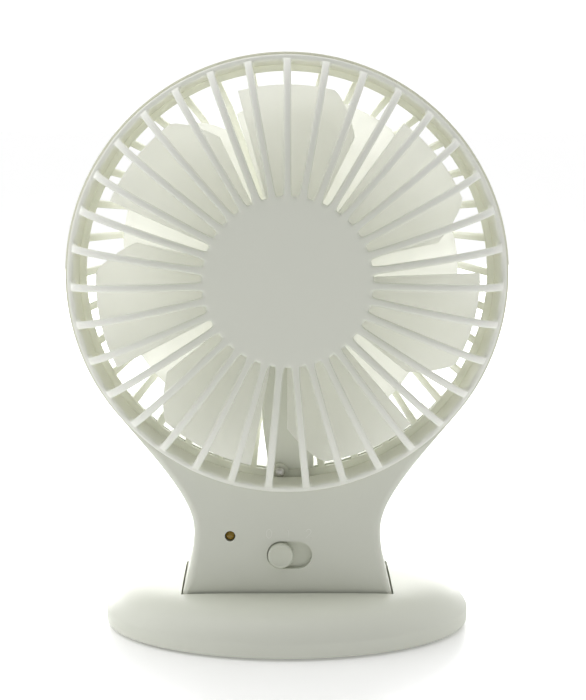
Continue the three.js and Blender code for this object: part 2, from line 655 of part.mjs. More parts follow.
const padSpots = fourSpots(PAD);
const plateHalf = BASE.half - PLATE.inset;
let plate = oval([v2(0, PLATE.low), v2(plateHalf, PLATE.low), v2(plateHalf, PLATE.high), v2(0, PLATE.high)]);
for (const { x, y } of padSpots) {
  plate = plate.subtract(post(PAD.radius + GAP, 0, PAD.thickness + GAP, x, y, 24));
}
for (const { x, y } of screwSpots) {
  plate = cut(plate, post(2.3, 0, 2.4, x, y, 16), post(1.2, 0, 9, x, y, 12));
}
for (const side of [-1, 1]) {
  plate = cut(plate, post(2.3, 0, 2.4, side * 12, 0, 16), post(1.2, 0, 9, side * 12, 0, 12));
}
place(base, "base_plate", geometryOf(plate), IVORY());

const pad = geometryOf(post(PAD.radius, 0, PAD.thickness, 0, 0, 24));
padSpots.forEach(({ x, y }, i) => place(base, `foot_pad_${i + 1}`, pad, RUBBER(), [x, y, 0]));
const baseScrew = screw(2, 1, 0.9, 7);
screwSpots.forEach(({ x, y }, i) => {
  place(base, `base_screw_${i + 1}`, baseScrew, STEEL(), [x, y, 1.1], [Math.PI / 2, 0, 0]);
});
const bracketScrew = screw(2, 1, 0.9, 3.6);
[-12, 12].forEach((x, i) => {
  place(base, `bracket_screw_${i + 1}`, bracketScrew, STEEL(), [x, 0, 1.1], [Math.PI / 2, 0, 0]);
});

for (const [name, side] of [
  ["ballast_left", -1],
  ["ballast_right", 1],
]) {
  const weight = new THREE.BoxGeometry(13, 24, 6);
  place(base, name, weight, DARK_STEEL(), [side * 42.5, 0, PLATE.high + GAP + 3]);
}

export default fan;
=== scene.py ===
import json
from math import cos, pi, radians, sin

import bmesh
import bpy
from mathutils import Matrix, Vector


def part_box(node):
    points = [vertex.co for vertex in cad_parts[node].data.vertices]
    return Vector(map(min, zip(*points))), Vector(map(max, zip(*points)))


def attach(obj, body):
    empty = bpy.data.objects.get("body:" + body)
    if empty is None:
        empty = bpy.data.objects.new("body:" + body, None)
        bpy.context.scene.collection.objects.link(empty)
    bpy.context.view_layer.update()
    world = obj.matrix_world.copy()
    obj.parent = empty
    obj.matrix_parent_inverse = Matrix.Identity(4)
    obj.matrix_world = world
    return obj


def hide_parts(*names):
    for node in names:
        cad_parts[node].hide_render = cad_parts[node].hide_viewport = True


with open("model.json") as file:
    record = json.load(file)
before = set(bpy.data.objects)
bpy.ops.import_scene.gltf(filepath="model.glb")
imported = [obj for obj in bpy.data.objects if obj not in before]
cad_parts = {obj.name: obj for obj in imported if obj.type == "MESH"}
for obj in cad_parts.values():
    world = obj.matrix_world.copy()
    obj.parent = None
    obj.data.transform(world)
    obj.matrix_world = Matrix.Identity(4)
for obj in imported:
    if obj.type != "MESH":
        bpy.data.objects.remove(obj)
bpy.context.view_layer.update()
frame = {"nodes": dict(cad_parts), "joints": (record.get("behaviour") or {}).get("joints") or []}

# ------------------------------------------------------------------ camera
# The camera stands in front of the fan, level with the top of its head and a touch to the left of its middle.
# A long lens, tipped slightly down, keeps the head round and shows a little of the base's top.
CAMERA_PLACE = (-0.0029, -0.6243, 0.1799)
LOOK_DOWN = 8.07
LOOK_RIGHT = 0.45
FOCAL_LENGTH = 98.3
NEAREST = 0.05

camera = bpy.data.objects.new("camera", bpy.data.cameras.new("camera"))
bpy.context.scene.collection.objects.link(camera)
camera.location = CAMERA_PLACE
camera.rotation_euler = (radians(90 - LOOK_DOWN), 0, radians(-LOOK_RIGHT))
camera.data.lens = FOCAL_LENGTH
camera.data.clip_start = NEAREST
bpy.context.scene.camera = camera

# ------------------------------------------------------------------ floor and light
# A white satin floor in a plain white room. The room is bright behind the fan and dim on the camera's side,
# so that thin plastic glows. Soft boxes stand high in front on the left, far to the left, and low behind.
FLOOR_REACH = 6.0
FRONT_ROOM = 0.27
BACK_ROOM = 1.12
TOP_WATTS = 4.4
LEFT_WATTS = 2.6
REAR_WATTS = 10.5
FLOOR_LIFT = 0.14
ROOM_TILT = 0.35
ROOM_FRONT_END, ROOM_BACK_START = -0.35, 0.5
AIM = (0, 0, 0.1)


class Wire:
    """An output socket that can be used in sums. Each operator adds a Math node."""

    def __init__(self, paint, socket):
        self.paint = paint
        self.socket = socket

    def _math(self, operation, first, second):
        return self.paint.node("ShaderNodeMath", {"operation": operation}, {0: first, 1: second})["Value"]

    def __add__(self, other):
        return self._math("ADD", self, other)

    def __sub__(self, other):
        return self._math("SUBTRACT", self, other)

    def __rsub__(self, other):
        return self._math("SUBTRACT", other, self)

    def __mul__(self, other):
        return self._math("MULTIPLY", self, other)

    __radd__ = __add__
    __rmul__ = __mul__


class Placed:
    """A node that has been added. Its outputs are read by name or number."""

    def __init__(self, paint, node):
        self.paint = paint
        self.node = node

    def __getitem__(self, key):
        return Wire(self.paint, self.node.outputs[key])


class Paint:
    """The node tree of one material, or of the room."""

    def __init__(self, tree):
        self.tree = tree

    def node(self, kind, settings, inputs):
        node = self.tree.nodes.new(kind)
        for key, value in settings.items():
            setattr(node, key, value)
        for key, value in inputs.items():
            self.feed(node.inputs[key], value)
        return Placed(self, node)

    def feed(self, socket, value):
        if isinstance(value, Wire):
            self.tree.links.new(value.socket, socket)
        elif isinstance(value, tuple) and socket.type == "RGBA":
            socket.default_value = (*value, 1)
        else:
            socket.default_value = value

    def place(self):
        return self.node("ShaderNodeTexCoord", {}, {})["Object"]

    def mix(self, share, first, second):
        return self.node("ShaderNodeMix", {"data_type": "RGBA"}, {0: share, 6: first, 7: second})[2]

    def noise(self, where, scale, detail=3.0, rough=0.5):
        inputs = {"Vector": where, "Scale": scale, "Detail": detail, "Roughness": rough}
        return self.node("ShaderNodeTexNoise", {}, inputs)["Fac"]

    def ramp(self, value, low, high, to_low, to_high):
        inputs = {"Value": value, "From Min": low, "From Max": high, "To Min": to_low, "To Max": to_high}
        return self.node("ShaderNodeMapRange", {"interpolation_type": "SMOOTHSTEP"}, inputs)["Result"]

    def bump(self, height, strength, depth):
        inputs = {"Strength": strength, "Distance": depth, "Height": height}
        return self.node("ShaderNodeBump", {}, inputs)["Normal"]


def new_paint(name):
    material = bpy.data.materials.new(name)
    material.use_nodes = True
    return material, Paint(material.node_tree), material.node_tree.nodes["Principled BSDF"].inputs


room = bpy.data.worlds.new("room")
bpy.context.scene.world = room
room.use_nodes = True
walls = Paint(room.node_tree)
glance = walls.node("ShaderNodeSeparateXYZ", {}, {0: walls.node("ShaderNodeTexCoord", {}, {})["Generated"]})
backdrop = room.node_tree.nodes["Background"].inputs
towards_back = glance["Y"] + glance["Z"] * ROOM_TILT
room_glow = walls.ramp(towards_back, ROOM_FRONT_END, ROOM_BACK_START, FRONT_ROOM, BACK_ROOM)
walls.feed(backdrop["Strength"], room_glow)
walls.feed(backdrop["Color"], (1.0, 1.0, 1.0))

floor_mesh = bpy.data.meshes.new("floor")
floor_corners = [(sx * FLOOR_REACH, sy * FLOOR_REACH, 0) for sx, sy in ((-1, -1), (1, -1), (1, 1), (-1, 1))]
floor_mesh.from_pydata(floor_corners, [], [(0, 1, 2, 3)])
floor = bpy.data.objects.new("floor", floor_mesh)
bpy.context.scene.collection.objects.link(floor)
floor_material, paint, shader = new_paint("white_floor")
floor_cloud = paint.noise(paint.place(), 3.0)
paint.feed(shader["Base Color"], paint.mix(floor_cloud, (0.95, 0.95, 0.95), (0.97, 0.97, 0.97)))
shader["Roughness"].default_value = 0.4
shader["Emission Color"].default_value = (1, 1, 1, 1)
shader["Emission Strength"].default_value = FLOOR_LIFT
floor_mesh.materials.append(floor_material)


def soft_box(name, place, size, watts):
    light = bpy.data.lights.new(name, "AREA")
    light.shape = "RECTANGLE"
    light.size, light.size_y = size
    light.energy = watts
    holder = bpy.data.objects.new(name, light)
    bpy.context.scene.collection.objects.link(holder)
    holder.location = place
    holder.rotation_euler = (Vector(AIM) - Vector(place)).to_track_quat("-Z", "Y").to_euler()


soft_box("top_box", (-0.35, -0.2, 1.5), (1.4, 1.2), TOP_WATTS)
soft_box("left_box", (-1.3, 0.1, 0.7), (0.8, 1.2), LEFT_WATTS)
soft_box("rear_box", (-0.1, 1.2, 0.2), (1.5, 0.36), REAR_WATTS)
bpy.context.scene.view_settings.view_transform = "Standard"

# ------------------------------------------------------------------ base cover
# An oval shell moulded in ivory ABS: nearly flat on top, a tight shoulder, and a crease above a short wall.
# The neck stands in a slot in its middle. Screws from below hold it to the plate.
MM = 0.001
GAP = 0.3 * MM
WALL = 2 * MM
CREASE = 6.2 * MM
SHOULDER_INSET = 0.35 * MM
SLOT_CLEARANCE = 0.6 * MM
FOOT_HALF = 34.2 * MM
DOME_FULLNESS = 10
DOME_SHOULDER = 1.15
COVER_POST_RADIUS = 2.8 * MM
COVER_POST_FOOT = 3.5 * MM
COVER_POST_DROP = 3 * MM

cover_low, cover_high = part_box("base_cover")
head_low, head_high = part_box("front_housing")
BASE_HALF, BASE_HALF_DEPTH = cover_high.x, cover_high.y
HALF_DEPTH = -head_low.y


def mesh_from(name, points, faces):
    mesh = bpy.data.meshes.new(name)
    mesh.from_pydata(points, [], faces)
    closed = bmesh.new()
    closed.from_mesh(mesh)
    bmesh.ops.recalc_face_normals(closed, faces=closed.faces)
    closed.to_mesh(mesh)
    closed.free()
    mesh.polygons.foreach_set("use_smooth", [True] * len(mesh.polygons))
    return mesh


def finished(mesh, *steps):
    """The mesh after a stack of modifiers, each a type and its settings."""
    holder = bpy.data.objects.new("stack", mesh)
    bpy.context.scene.collection.objects.link(holder)
    for kind, settings in steps:
        modifier = holder.modifiers.new(kind.lower(), kind)
        for key, value in settings.items():
            setattr(modifier, key, value)
    bpy.context.view_layer.update()
    result = bpy.data.meshes.new_from_object(holder.evaluated_get(bpy.context.evaluated_depsgraph_get()))
    result.name = mesh.name
    bpy.data.objects.remove(holder)
    return result


def carved(mesh, *tools):
    """The mesh after each (operation, tool mesh) in turn."""
    for operation, tool in tools:
        cutter = bpy.data.objects.new("cutter", tool)
        bpy.context.scene.collection.objects.link(cutter)
        mesh = finished(mesh, ("BOOLEAN", {"operation": operation, "object": cutter, "solver": "MANIFOLD"}))
        bpy.data.objects.remove(cutter)
    return mesh


def loft(name, loops):
    """A closed solid through loops of equal count, with flat ends."""
    count = len(loops[0])
    points = [point for loop in loops for point in loop]
    faces = [tuple(range(count)), tuple(range(len(points) - count, len(points)))]
    for k in range(len(loops) - 1):
        for i in range(count):
            j = (i + 1) % count
            faces.append((k * count + i, k * count + j, (k + 1) * count + j, (k + 1) * count + i))
    return mesh_from(name, points, faces)


def turned(name, profile, steps=96, centre=(0, 0)):
    """A solid turned about an axis along Y through centre (x, z), from points (radius, y)."""
    points, faces, rings = [], [], []
    for radius, y in profile:
        if radius == 0:
            rings.append([len(points)] * steps)
            points.append((centre[0], y, centre[1]))
            continue
        rings.append(list(range(len(points), len(points) + steps)))
        for i in range(steps):
            turn = 2 * pi * i / steps
            points.append((centre[0] + radius * sin(turn), y, centre[1] + radius * cos(turn)))
    pairs = list(zip(rings, rings[1:]))
    if profile[0][0] > 0:
        pairs.append((rings[-1], rings[0]))
    for first, second in pairs:
        for i in range(steps):
            j = (i + 1) % steps
            faces.append(tuple(dict.fromkeys((first[i], first[j], second[j], second[i]))))
    return mesh_from(name, points, faces)


def drum(name, radius, front, back, centre=(0, 0), steps=96):
    return turned(name, [(0, front), (radius, front), (radius, back), (0, back)], steps, centre)


def block(name, low, high):
    (x0, y0, z0), (x1, y1, z1) = low, high
    return loft(name, [[(x0, y0, z), (x1, y0, z), (x1, y1, z), (x0, y1, z)] for z in (z0, z1)])


def smooth_to(mesh, corner):
    """Smooth shading everywhere but across edges sharper than a corner in degrees."""
    mesh.polygons.foreach_set("use_smooth", [True] * len(mesh.polygons))
    mesh.set_sharp_from_angle(angle=radians(corner))
    return mesh


def soft_edges(mesh, width):
    """Small radii on the sharp edges that are left, with flat faces kept flat in the shading."""
    settings = {"width": width, "segments": 2, "limit_method": "ANGLE", "angle_limit": radians(40)}
    mesh = smooth_to(finished(mesh, ("BEVEL", settings)), 50)
    return finished(mesh, ("WEIGHTED_NORMAL", {"keep_sharp": True, "weight": 80}))


def stand_at(mesh, middle):
    """Stands a solid turned about Y upright, over a place on the floor."""
    mesh.transform(Matrix.Translation((middle.x, middle.y, 0)) @ Matrix.Rotation(pi / 2, 4, "X"))
    return mesh


def add_piece(name, mesh, material, body, nodes):
    """Puts a finished mesh in the scene in its material, on its body, in place of the nodes named."""
    mesh.materials.clear()
    mesh.materials.append(material)
    piece = bpy.data.objects.new(name, mesh)
    bpy.context.scene.collection.objects.link(piece)
    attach(piece, body)
    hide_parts(*nodes)


def moulded(name, deep, pale, satin=0.36, grain=0.04):
    """Moulded plastic: faint cloudiness, a fine eroded texture and a satin that varies a little."""
    material, paint, shader = new_paint(name)
    place = paint.place()
    cloud = paint.noise(place, 26.0, 4.0)
    drift = paint.noise(place, 7.0, 2.0)
    speck = paint.noise(place, 900.0, 2.0)
    paint.feed(shader["Base Color"], paint.mix(cloud * 0.6 + drift * 0.4, deep, pale))
    paint.feed(shader["Roughness"], cloud * 0.10 + speck * 0.06 + satin)
    texture = paint.noise(place, 3200.0, 2.0, 0.6) + speck * 0.5
    paint.feed(shader["Normal"], paint.bump(texture, grain, 0.0004))
    return material, paint, shader


IVORY_DEEP, IVORY_PALE = (0.755, 0.772, 0.677), (0.805, 0.822, 0.730)
IVORY = moulded("ivory_abs", IVORY_DEEP, IVORY_PALE)[0]


def dome_profile(half, rise):
    """Points down the dome from its middle to the crease, closer together towards the shoulder."""
    steps = 36
    shares = [1 - (1 - i / steps) ** 2.4 for i in range(steps + 1)]
    heights = [(1 - share**DOME_FULLNESS) ** (1 / DOME_SHOULDER) for share in shares]
    return [(half * share, CREASE + rise * height) for share, height in zip(shares, heights)]


def oval_solid(name, profile, steps=192):
    """A solid turned about Z from points (half width, z), then narrowed front to back to the base's oval."""
    mesh = turned(name, profile, steps)
    mesh.transform(Matrix.Diagonal((1, BASE_HALF_DEPTH / BASE_HALF, 1, 1)) @ Matrix.Rotation(pi / 2, 4, "X"))
    return mesh


dome_rise = cover_high.z - CREASE
outer_profile = dome_profile(BASE_HALF - SHOULDER_INSET, dome_rise) + [
    (BASE_HALF - 0.08 * MM, CREASE - 0.5 * MM),
    (BASE_HALF, CREASE - 1.2 * MM),
    (BASE_HALF - 0.1 * MM, cover_low.z + 0.6 * MM),
    (BASE_HALF - 0.6 * MM, cover_low.z),
    (0, cover_low.z),
]
inner_half = BASE_HALF - 2.3 * MM
inner_profile = dome_profile(inner_half, dome_rise - WALL) + [(inner_half, -WALL), (0, -WALL)]
slot_half, slot_depth = FOOT_HALF + GAP, HALF_DEPTH + SLOT_CLEARANCE
cover_tools = [("DIFFERENCE", oval_solid("inner_dome", inner_profile, 160))]
for n in range(1, 5):
    low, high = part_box(f"base_screw_{n}")
    middle = (low + high) / 2
    post = drum("screw_post", COVER_POST_RADIUS, COVER_POST_FOOT, cover_high.z - COVER_POST_DROP, steps=32)
    cover_tools.append(("UNION", stand_at(post, middle)))
neck_slot = block("neck_slot", (-slot_half, -slot_depth, -0.01), (slot_half, slot_depth, 0.05))
cover_tools.append(("DIFFERENCE", neck_slot))
cover_mesh = carved(oval_solid("base_cover_moulding", outer_profile), *cover_tools)
cover_mesh = soft_edges(cover_mesh, 0.4 * MM)
add_piece("base_cover_moulding", cover_mesh, IVORY, "base", ["base_cover"])

# ------------------------------------------------------------------ base plate and ballast
# A flat oval plate in the same ivory ABS closes the base from below. Two zinc blocks inside it keep the fan
# from falling over.


def metal(name, shade, rough, scale):
    """Bare or plated metal: brightness and polish vary in small patches, with fine marks."""
    material, paint, shader = new_paint(name)
    place = paint.place()
    patch = paint.noise(place, scale, 4.0, 0.6)
    mark = paint.noise(place, scale * 9, 2.0)
    light = tuple(min(1.0, part * 1.14) for part in shade)
    paint.feed(shader["Base Color"], paint.mix(patch, shade, light))
    paint.feed(shader["Roughness"], patch * 0.16 + mark * 0.08 + rough)
    paint.feed(shader["Normal"], paint.bump(mark, 0.08, 0.0002))
    shader["Metallic"].default_value = 1.0
    return material


def finish_nodes(material, *names):
    """Gives CAD nodes whose shape is right their material."""
    for name in names:
        mesh = frame["nodes"][name].data
        mesh.materials.clear()
        mesh.materials.append(material)


finish_nodes(IVORY, "base_plate")
finish_nodes(metal("cast_zinc", (0.36, 0.37, 0.39), 0.48, 160.0), "ballast_left", "ballast_right")

# ------------------------------------------------------------------ foot pads
# Four black rubber discs with rounded rims and a shallow dish, so that they grip a smooth desk.
# They are moulded, and pressed into pockets under the plate.
RUBBER, paint, shader = new_paint("black_rubber")
rubber_grain = paint.noise(paint.place(), 1500.0, 3.0)
paint.feed(shader["Base Color"], paint.mix(rubber_grain, (0.022, 0.022, 0.025), (0.05, 0.05, 0.055)))
paint.feed(shader["Roughness"], rubber_grain * 0.2 + 0.7)
paint.feed(shader["Normal"], paint.bump(rubber_grain, 0.3, 0.0003))

for n in range(1, 5):
    low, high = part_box(f"foot_pad_{n}")
    middle, radius = (low + high) / 2, (high.x - low.x) / 2
    pad_profile = [
        (0, 0.25 * MM),
        (radius - 1.3 * MM, 0.2 * MM),
        (radius - 0.9 * MM, 0),
        (radius - 0.4 * MM, 0.05 * MM),
        (radius, 0.5 * MM),
        (radius, high.z),
        (0, high.z),
    ]
    pad = stand_at(turned(f"foot_pad_disc_{n}", pad_profile, 64), middle)
    add_piece(f"foot_pad_disc_{n}", pad, RUBBER, "base", [f"foot_pad_{n}"])

# ------------------------------------------------------------------ pivot bracket, axle and washers
# A pressed steel bracket screwed to the plate stands up inside the foot of the neck. A steel axle goes
# through its two ears, with a friction washer on each side that holds the head where it is tilted.
PRESSED_STEEL = metal("pressed_steel", (0.42, 0.43, 0.45), 0.38, 120.0)
BRIGHT_STEEL = metal("bright_steel", (0.60, 0.61, 0.63), 0.22, 300.0)
finish_nodes(PRESSED_STEEL, "pivot_bracket", "friction_washer_left", "friction_washer_right")
finish_nodes(BRIGHT_STEEL, "tilt_axle", "front_shaft", "rear_shaft")

# ------------------------------------------------------------------ front housing
# The hoop of the head and the face of the neck are one ivory ABS moulding. Its edges are well rounded on the
# neck and tight round the hoop. It has a long slot for the switch and a small hole for the lamp.
rear_low, rear_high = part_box("rear_housing")
knob_low, knob_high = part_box("switch_knob")
lamp_low, lamp_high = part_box("power_lamp")
grille_low, grille_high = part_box("front_grille")
shaft_low, shaft_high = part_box("front_shaft")
AXIS_Z = (shaft_low.z + shaft_high.z) / 2
PIVOT_Z = next(joint for joint in frame["joints"] if joint["name"] == "head_tilt")["pos_m"][2]
HEAD_RADIUS = head_high.x
FOOT_TOP = 13.8 * MM
WAIST_HALF = 30.2 * MM
WAIST_HEIGHT = 34.8 * MM
JOIN = radians(39.5)
FLANK = 25 * MM
BORE = 68.2 * MM
FOOT_LEAN = 5
FOOT_OPEN = 9.4 * MM
LAMP_HOLE = 1.7 * MM
SLOT_X = 0.7 * MM
SLOT_LONG, SLOT_TALL = 14.6 * MM, 9 * MM
SWITCH_Z = (knob_low.z + knob_high.z) / 2
LAMP_X, LAMP_Z = (lamp_low.x + lamp_high.x) / 2, (lamp_low.z + lamp_high.z) / 2


def curve_points(hull, steps):
    """Points along a curve drawn by its hull, from its first point to just before its last."""
    found = []
    for i in range(steps):
        row = [Vector(point) for point in hull]
        while len(row) > 1:
            row = [a.lerp(b, i / steps) for a, b in zip(row, row[1:])]
        found.append(row[0])
    return found


def half_outline(inset):
    """The right side of head and neck in (x, z), from the bottom of the foot to the top of the head."""
    radius, waist, foot = HEAD_RADIUS - inset, WAIST_HALF - inset, FOOT_HALF - inset
    join = (radius * cos(JOIN), AXIS_Z - radius * sin(JOIN))
    flank = (join[0] - FLANK * sin(JOIN), join[1] - FLANK * cos(JOIN))
    side = curve_points([(foot, 0), (foot, FOOT_TOP)], 2)
    side += curve_points([(foot, FOOT_TOP), (waist, 27 * MM), (waist, WAIST_HEIGHT)], 14)
    side += curve_points([(waist, WAIST_HEIGHT), (waist, WAIST_HEIGHT + 9.5 * MM), flank, join], 26)
    turns = [-JOIN + (pi / 2 + JOIN) * i / 72 for i in range(73)]
    return side + [Vector((radius * cos(turn), AXIS_Z + radius * sin(turn))) for turn in turns]


PLAIN_OUTLINE = half_outline(0)
INSET_OUTLINE = half_outline(1 * MM)


def outline_loop(inset_at, depth_at):
    """A closed loop round the outline, with its inset and its place along Y set by height."""
    right = []
    for plain, inset in zip(PLAIN_OUTLINE, INSET_OUTLINE):
        spot = plain.lerp(inset, inset_at(plain.y) / MM)
        right.append((spot.x, depth_at(plain.y), spot.y))
    return right + [(-x, y, z) for x, y, z in reversed(right[:-1])]


def edge_radius(height):
    """How round the outer edges are: tight round the hoop, easing to full on the neck."""
    share = min(1, max(0, (AXIS_Z - 35 * MM - height) / (25 * MM)))
    return (0.8 + 1.9 * share) * MM


def outline_solid(name, face, back, front_sign):
    """Head and neck made solid from a rounded face to a flat back."""
    loops = [outline_loop(lambda height: 0, lambda height: back)]
    for i in range(7):
        round_in, round_off = 1 - cos(pi / 12 * i), 1 - sin(pi / 12 * i)
        loops.append(
            outline_loop(
                lambda height: edge_radius(height) * round_in,
                lambda height: face - front_sign * edge_radius(height) * round_off,
            )
        )
    return loft(name, loops)


def round_foot(half):
    """What keeps the foot round about the tilt pivot: flat sides above it and a half round below."""
    turns = [pi + pi * i / 48 for i in range(49)]
    side = [(half, 0.3), (-half, 0.3)]
    side += [(half * cos(turn), PIVOT_Z + half * sin(turn)) for turn in turns]
    return loft("round_foot", [[(x, y, z) for y, z in side] for x in (-0.1, 0.1)])


def open_foot():
    """Clears the open end of the foot, which leans so that both tilts clear the base."""
    low = block("open_foot", (-0.1, -0.1, -0.06), (0.1, 0.1, -FOOT_OPEN))
    low.transform(Matrix.Translation((0, 0, PIVOT_Z)) @ Matrix.Rotation(radians(FOOT_LEAN), 4, "X"))
    return low


def hollow(kept_radius):
    """The hollow of head and neck, which leaves what lies within a radius of the head's axis."""
    face = HALF_DEPTH - WALL
    body = loft("hollow", [outline_loop(lambda height: WALL, lambda height: y) for y in (-face, face)])
    kept = drum("kept", kept_radius, -0.05, 0.05, (0, AXIS_Z), 192)
    return carved(body, ("INTERSECT", round_foot(face)), ("DIFFERENCE", kept))


def stadium(name, length, tall, x, z, front, back):
    """A bar with round ends, its length along X, from front to back."""
    radius, turns = tall / 2, [pi * i / 20 - pi / 2 for i in range(21)]
    reach = length / 2 - radius
    side = [(x + reach + radius * cos(turn), z + radius * sin(turn)) for turn in turns]
    side += [(x - reach - radius * cos(turn), z - radius * sin(turn)) for turn in turns]
    return loft(name, [[(px, y, pz) for px, pz in side] for y in (front, back)])


HOOP_IVORY, paint, shader = moulded("ivory_abs_head", IVORY_DEEP, IVORY_PALE)


def let_light_through(paint, shader, share, tint):
    """Mixes in light that comes through a thin wall from behind. The share may vary over the surface."""
    shader_node = shader["Base Color"].node
    through = paint.node("ShaderNodeBsdfTranslucent", {}, {"Color": tint})
    solid = Wire(paint, shader_node.outputs["BSDF"])
    both = paint.node("ShaderNodeMixShader", {}, {0: share, 1: solid, 2: through["BSDF"]})
    paint.feed(paint.tree.nodes["Material Output"].inputs["Surface"], both["Shader"])


height_up = paint.node("ShaderNodeSeparateXYZ", {}, {0: paint.place()})["Z"]
hoop_share = paint.ramp(height_up, AXIS_Z - 60 * MM, AXIS_Z - 45 * MM, 0.0, 0.45)
let_light_through(paint, shader, hoop_share, (1.0, 0.99, 0.90))

front_mesh = carved(
    outline_solid("front_housing_moulding", -HALF_DEPTH, head_high.y, -1),
    ("INTERSECT", round_foot(HALF_DEPTH)),
    ("DIFFERENCE", hollow(HEAD_RADIUS)),
    ("DIFFERENCE", drum("bore", BORE, -0.05, 0.05, (0, AXIS_Z), 240)),
    ("DIFFERENCE", open_foot()),
    ("DIFFERENCE", stadium("switch_slot", SLOT_LONG, SLOT_TALL, SLOT_X, SWITCH_Z, -0.03, -0.017)),
    ("DIFFERENCE", drum("lamp_hole", LAMP_HOLE, -0.03, -0.016, (LAMP_X, LAMP_Z), 40)),
)
front_mesh = soft_edges(front_mesh, 0.3 * MM)
add_piece("front_housing_moulding", front_mesh, HOOP_IVORY, "head", ["front_housing"])

# ------------------------------------------------------------------ rear housing
# The back of the neck, in the same ivory ABS. It reaches up to a saddle under the grille, has the power
# inlet's opening in its middle, and four deep wells for the screws that pull the two halves together.
SADDLE = 66.5 * MM
POST_RADIUS = 3.2 * MM
WELL_RADIUS = 2.3 * MM
PILOT_RADIUS = 1.2 * MM
inlet_low, inlet_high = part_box("power_inlet")
rear_tools = [
    ("INTERSECT", round_foot(HALF_DEPTH)),
    ("DIFFERENCE", hollow(SADDLE + WALL)),
    ("DIFFERENCE", drum("saddle", SADDLE, -0.05, 0.05, (0, AXIS_Z), 240)),
    ("DIFFERENCE", block("above_saddle", (-0.2, -0.1, rear_high.z), (0.2, 0.1, 0.3))),
    ("DIFFERENCE", open_foot()),
]
for n in range(1, 5):
    low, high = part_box(f"housing_screw_{n}")
    spot, seat = ((low.x + high.x) / 2, (low.z + high.z) / 2), high.y - 1.8 * MM
    shank_hole = [(0, -0.01), (PILOT_RADIUS, -0.01), (PILOT_RADIUS, seat)]
    hole = shank_hole + [(WELL_RADIUS, seat), (WELL_RADIUS, 0.05), (0, 0.05)]
    rear_tools.append(("UNION", drum("screw_post", POST_RADIUS, rear_low.y, HALF_DEPTH - 1 * MM, spot, 40)))
    rear_tools.append(("DIFFERENCE", turned("screw_well", hole, 40, spot)))
inlet_opening = block(
    "inlet_opening",
    (inlet_low.x - GAP, inlet_low.y + 1 * MM, inlet_low.z - GAP),
    (inlet_high.x + GAP, 0.04, inlet_high.z + GAP),
)
rear_tools.append(("DIFFERENCE", inlet_opening))
rear_mesh = carved(outline_solid("rear_housing_moulding", HALF_DEPTH, rear_low.y, 1), *rear_tools)
rear_mesh = soft_edges(rear_mesh, 0.3 * MM)
add_piece("rear_housing_moulding", rear_mesh, IVORY, "head", ["rear_housing"])

# ------------------------------------------------------------------ switch knob
# A round cap with a raised rim and a dished face, on a flat slider that fills the slot behind it. Cap, slider
# and the peg that moves the switch are one moulding in a slightly glossier ivory ABS.
KNOB_X = (knob_low.x + knob_high.x) / 2
KNOB_RADIUS = 4.1 * MM
PEG_HALF = 1.5 * MM
PLATE_FRONT = -HALF_DEPTH + WALL + GAP
knob_profile = [
    (0, knob_low.y + 0.45 * MM),
    (KNOB_RADIUS - 1.7 * MM, knob_low.y + 0.38 * MM),
    (KNOB_RADIUS - 1.0 * MM, knob_low.y + 0.12 * MM),
    (KNOB_RADIUS - 0.75 * MM, knob_low.y),
    (KNOB_RADIUS - 0.4 * MM, knob_low.y + 0.06 * MM),
    (KNOB_RADIUS - 0.12 * MM, knob_low.y + 0.3 * MM),
    (KNOB_RADIUS, knob_low.y + 0.8 * MM),
    (KNOB_RADIUS, PLATE_FRONT + 0.5 * MM),
    (0, PLATE_FRONT + 0.5 * MM),
]
slider = stadium("slider", 21 * MM, 11 * MM, KNOB_X, SWITCH_Z, PLATE_FRONT, PLATE_FRONT + 1 * MM)
peg = block(
    "peg",
    (KNOB_X - PEG_HALF, PLATE_FRONT + 0.5 * MM, SWITCH_Z - PEG_HALF),
    (KNOB_X + PEG_HALF, knob_high.y, SWITCH_Z + PEG_HALF),
)
knob_mesh = turned("switch_cap", knob_profile, 96, (KNOB_X, SWITCH_Z))
knob_mesh = soft_edges(carved(knob_mesh, ("UNION", slider), ("UNION", peg)), 0.1 * MM)
KNOB_IVORY = moulded("ivory_abs_polished", (0.735, 0.755, 0.645), (0.785, 0.805, 0.695), 0.26, 0.02)[0]
add_piece("switch_cap", knob_mesh, KNOB_IVORY, "switch_knob", ["switch_knob"])

# ------------------------------------------------------------------ switch numerals
# The positions 0, 1 and 2, pad-printed above the slot in a slightly paler ivory. The strokes are thin round
# bars sunk in the face of the neck, so that they stand a hair proud of it.
PRINT = moulded("pale_print", (0.87, 0.88, 0.80), (0.90, 0.91, 0.84), 0.45)[0]
NUMERAL_TALL = 2.9 * MM
NUMERAL_Z = SWITCH_Z + 7.1 * MM
HAIR = 0.05 * MM
STROKE_RADIUS = 0.12 * MM + HAIR
STROKE_SINK = 0.12 * MM
NUMERAL_SPOTS = (-5.9 * MM, 0.4 * MM, 6.9 * MM)


def tube_along(name, path, radius, sides=10):
    """A round bar along a path, with flat ends."""
    path = [Vector(point) for point in path]
    loops = []
    for i, point in enumerate(path):
        along = (path[min(i + 1, len(path) - 1)] - path[max(i - 1, 0)]).normalized()
        side = along.cross(Vector((0, 1, 0))).normalized()
        other = along.cross(side)
        turns = [2 * pi * k / sides for k in range(sides)]
        loops.append([tuple(point + radius * (cos(t) * side + sin(t) * other)) for t in turns])
    return loft(name, loops)


def numeral_paths(numeral):
    """The strokes of a numeral in a box one unit high, centred on the origin."""
    if numeral == 0:
        return [[(0.3 * sin(2 * pi * i / 40), 0.5 * cos(2 * pi * i / 40)) for i in range(41)]]
    if numeral == 1:
        return [[(-0.16, 0.34), (0.02, 0.5), (0.02, -0.5)]]
    bow = [(0.27 * cos(turn), 0.23 + 0.27 * sin(turn)) for turn in (pi * (1 - i / 15) for i in range(19))]
    return [bow + [(-0.3, -0.5), (0.32, -0.5)]]


